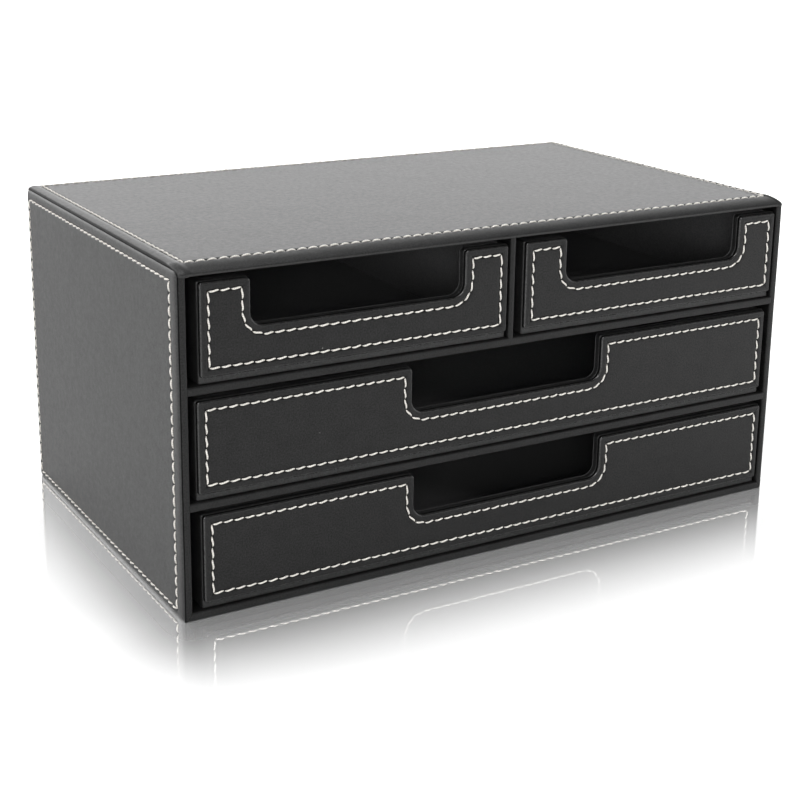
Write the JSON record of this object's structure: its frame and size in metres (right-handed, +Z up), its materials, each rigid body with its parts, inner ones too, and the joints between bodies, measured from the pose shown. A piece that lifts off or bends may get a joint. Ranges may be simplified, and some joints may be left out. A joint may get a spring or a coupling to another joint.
{
  "type": "desktop mini drawers",
  "caption": "Low desktop cabinet in stitched black leather, with half-width drawers over full-width ones, each lined and pulled by a U-shaped finger cut-out.",
  "frame": {"origin": "middle of the underside, on the surface the cabinet stands on", "axes": "+X to the right as seen by someone facing the drawers, +Y from the front to the back, +Z up; the drawers slide out along -Y"},
  "size_m": [0.33, 0.2, 0.157],
  "materials": {
    "leather": "black leather with a fine grain and a low satin sheen, stitched near its edges with cream thread",
    "face_leather": "the same black leather on the drawer faces, rolled over the edges and stitched with cream thread",
    "lining": "matt black flocked paper",
    "board": "raw fibreboard, hidden under the leather and the lining",
    "thread": "thick cream polyester sewing thread"
  },
  "bodies": {
    "cabinet": {"top_board": "board", "bottom_board": "board", "left_side_board": "board", "right_side_board": "board", "back_board": "board", "upper_shelf": "board", "lower_shelf": "board", "top_row_divider": "board", "top_cover": "leather", "left_side_cover": "leather", "right_side_cover": "leather", "back_cover": "leather", "base_cover": "lining", "front_edge_top": "leather", "front_edge_bottom": "leather", "front_edge_left": "leather", "front_edge_right": "leather", "upper_shelf_edge": "leather", "lower_shelf_edge": "leather", "divider_edge": "leather", "bay_lining_top_left": "lining", "bay_lining_top_right": "lining", "bay_lining_middle": "lining", "bay_lining_bottom": "lining"},
    "drawer_top_left": {"drawer_top_left_front_wall": "board", "drawer_top_left_back_wall": "board", "drawer_top_left_left_wall": "board", "drawer_top_left_right_wall": "board", "drawer_top_left_floor": "board", "drawer_top_left_box_skin": "leather", "drawer_top_left_lining": "lining", "drawer_top_left_face_board": "board", "drawer_top_left_face_cover": "face_leather"},
    "drawer_top_right": {"drawer_top_right_front_wall": "board", "drawer_top_right_back_wall": "board", "drawer_top_right_left_wall": "board", "drawer_top_right_right_wall": "board", "drawer_top_right_floor": "board", "drawer_top_right_box_skin": "leather", "drawer_top_right_lining": "lining", "drawer_top_right_face_board": "board", "drawer_top_right_face_cover": "face_leather"},
    "drawer_middle": {"drawer_middle_front_wall": "board", "drawer_middle_back_wall": "board", "drawer_middle_left_wall": "board", "drawer_middle_right_wall": "board", "drawer_middle_floor": "board", "drawer_middle_box_skin": "leather", "drawer_middle_lining": "lining", "drawer_middle_face_board": "board", "drawer_middle_face_cover": "face_leather"},
    "drawer_bottom": {"drawer_bottom_front_wall": "board", "drawer_bottom_back_wall": "board", "drawer_bottom_left_wall": "board", "drawer_bottom_right_wall": "board", "drawer_bottom_floor": "board", "drawer_bottom_box_skin": "leather", "drawer_bottom_lining": "lining", "drawer_bottom_face_board": "board", "drawer_bottom_face_cover": "face_leather"}
  },
  "joints": [
    {"name": "drawer_top_left_slide", "type": "slide", "parent": "cabinet", "child": "drawer_top_left", "axis": [0, -1, 0], "range_m": [0, 0.15]},
    {"name": "drawer_top_right_slide", "type": "slide", "parent": "cabinet", "child": "drawer_top_right", "axis": [0, -1, 0], "range_m": [0, 0.15]},
    {"name": "drawer_middle_slide", "type": "slide", "parent": "cabinet", "child": "drawer_middle", "axis": [0, -1, 0], "range_m": [0, 0.15]},
    {"name": "drawer_bottom_slide", "type": "slide", "parent": "cabinet", "child": "drawer_bottom", "axis": [0, -1, 0], "range_m": [0, 0.15]}
  ]
}
